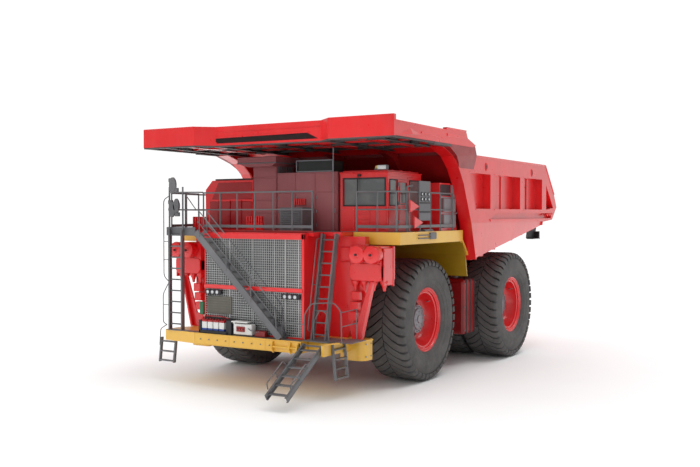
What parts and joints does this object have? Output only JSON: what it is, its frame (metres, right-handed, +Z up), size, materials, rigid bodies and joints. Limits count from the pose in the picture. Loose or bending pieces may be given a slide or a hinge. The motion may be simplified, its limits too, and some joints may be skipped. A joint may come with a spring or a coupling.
{
  "type": "mining dump truck",
  "caption": "Rigid rear-dump mining haul truck with steered front wheels, twin rear wheels, tipping body with canopy, side cab and access stairs.",
  "frame": {"origin": "on the ground under the middle of the truck's overall length and width", "axes": "+Z up, the truck faces -Y, its left (cab) side is +X"},
  "size_m": [9.7, 17.73, 8.38],
  "materials": {
    "red_paint": "satin red enamel on steel plate",
    "yellow_paint": "satin yellow enamel on steel plate",
    "dark_paint": "dark grey satin enamel",
    "grey_steel": "mid grey satin enamel on tube and plate",
    "engine_iron": "plain cast block",
    "tyre_rubber": "matt carbon-black rubber",
    "window_glass": "clear tinted glass",
    "seat_vinyl": "black grained vinyl",
    "polished_steel": "hard-chromed ram"
  },
  "bodies": {
    "chassis": {"frame_rails": "dark_paint", "front_bumper": "yellow_paint", "radiator_housing": "red_paint", "radiator_grille": "grey_steel", "engine_block": "engine_iron", "deck_plate": "grey_steel", "deck_fascia_left": "yellow_paint", "deck_fascia_right": "yellow_paint", "mudguard_left": "yellow_paint", "mudguard_right": "yellow_paint", "air_cleaner_left": "red_paint", "air_cleaner_right": "red_paint", "front_axle": "dark_paint", "rear_axle": "dark_paint", "fuel_tank": "dark_paint", "hydraulic_tank": "dark_paint", "resistor_hood": "red_paint", "vent_tower": "red_paint", "control_cabinet": "red_paint", "electrical_cabinet": "grey_steel", "cab_shell": "red_paint", "windscreen": "window_glass", "quarter_window": "window_glass", "rear_side_window": "window_glass", "driver_seat": "seat_vinyl", "handrail_front": "grey_steel", "handrail_left": "grey_steel", "handrail_right": "grey_steel", "ladder_left": "grey_steel", "ladder_right": "grey_steel", "diagonal_stair": "grey_steel", "battery_box": "dark_paint"},
    "swing_stair": {"swing_stair": "grey_steel"},
    "cab_door": {"cab_door": "red_paint", "door_window": "window_glass"},
    "steering_left": {"knuckle_left": "dark_paint"},
    "steering_right": {"knuckle_right": "dark_paint"},
    "tie_rod": {"tie_rod": "dark_paint"},
    "wheel_front_left": {"tyre_front_left": "tyre_rubber", "rim_front_left": "red_paint"},
    "wheel_front_right": {"tyre_front_right": "tyre_rubber", "rim_front_right": "red_paint"},
    "wheels_rear_left": {"tyre_rear_outer_left": "tyre_rubber", "tyre_rear_inner_left": "tyre_rubber", "rim_rear_left": "red_paint"},
    "wheels_rear_right": {"tyre_rear_outer_right": "tyre_rubber", "tyre_rear_inner_right": "tyre_rubber", "rim_rear_right": "red_paint"},
    "dump_body": {"body_side_left": "red_paint", "body_side_right": "red_paint", "headboard": "red_paint", "body_floor": "red_paint", "canopy": "red_paint"},
    "hoist_barrel_left": {"hoist_barrel_left": "dark_paint"},
    "hoist_barrel_right": {"hoist_barrel_right": "dark_paint"},
    "hoist_rod_left": {"hoist_rod_left": "polished_steel"},
    "hoist_rod_right": {"hoist_rod_right": "polished_steel"}
  },
  "joints": [
    {"name": "steer_left", "type": "hinge", "parent": "chassis", "child": "steering_left", "pos_m": [2.15, -2.365, 2.015], "axis": [0, 0, 1], "range_deg": [-30, 30]},
    {"name": "steer_right", "type": "hinge", "parent": "chassis", "child": "steering_right", "pos_m": [-2.15, -2.365, 2.015], "axis": [0, 0, 1], "range_deg": [-30, 30]},
    {"name": "tie_rod_pin", "type": "hinge", "parent": "steering_left", "child": "tie_rod", "pos_m": [1.95, -1.485, 1.55], "axis": [0, 0, 1], "range_deg": [-30, 30]},
    {"name": "spin_front_left", "type": "hinge", "parent": "steering_left", "child": "wheel_front_left", "pos_m": [3.315, -2.365, 2.015], "axis": [1, 0, 0], "continuous": true},
    {"name": "spin_front_right", "type": "hinge", "parent": "steering_right", "child": "wheel_front_right", "pos_m": [-3.315, -2.365, 2.015], "axis": [1, 0, 0], "continuous": true},
    {"name": "spin_rear_left", "type": "hinge", "parent": "chassis", "child": "wheels_rear_left", "pos_m": [3.05, 3.925, 2.015], "axis": [1, 0, 0], "continuous": true},
    {"name": "spin_rear_right", "type": "hinge", "parent": "chassis", "child": "wheels_rear_right", "pos_m": [-3.05, 3.925, 2.015], "axis": [1, 0, 0], "continuous": true},
    {"name": "body_tip", "type": "hinge", "parent": "chassis", "child": "dump_body", "pos_m": [0, 5.935, 3.6], "axis": [-1, 0, 0], "range_deg": [0, 45]},
    {"name": "hoist_swing_left", "type": "hinge", "parent": "chassis", "child": "hoist_barrel_left", "pos_m": [1.25, 2.135, 1.05], "axis": [1, 0, 0], "range_deg": [-3, 1]},
    {"name": "hoist_swing_right", "type": "hinge", "parent": "chassis", "child": "hoist_barrel_right", "pos_m": [-1.25, 2.135, 1.05], "axis": [1, 0, 0], "range_deg": [-3, 1]},
    {"name": "hoist_slide_left", "type": "slide", "parent": "hoist_barrel_left", "child": "hoist_rod_left", "axis": [0, 0.5082, 0.8612], "range_m": [0, 1.6]},
    {"name": "hoist_slide_right", "type": "slide", "parent": "hoist_barrel_right", "child": "hoist_rod_right", "axis": [0, 0.5082, 0.8612], "range_m": [0, 1.6]},
    {"name": "stair_swing", "type": "hinge", "parent": "chassis", "child": "swing_stair", "pos_m": [2.45, -6.965, 1.6], "axis": [-1, 0, 0], "range_deg": [0, 115]},
    {"name": "cab_door_hinge", "type": "hinge", "parent": "chassis", "child": "cab_door", "pos_m": [3.55, -3.715, 5.85], "axis": [0, 0, -1], "range_deg": [0, 85]}
  ],
  "couplings": [
    {"joint": "steer_right", "follows": "steer_left", "ratio": 1},
    {"joint": "tie_rod_pin", "follows": "steer_left", "ratio": -1},
    {"joint": "hoist_swing_left", "follows": "body_tip", "ratio": -0.0409},
    {"joint": "hoist_swing_right", "follows": "body_tip", "ratio": -0.0409},
    {"joint": "hoist_slide_left", "follows": "body_tip", "m_per_rad": 2.0015},
    {"joint": "hoist_slide_right", "follows": "body_tip", "m_per_rad": 2.0015}
  ]
}
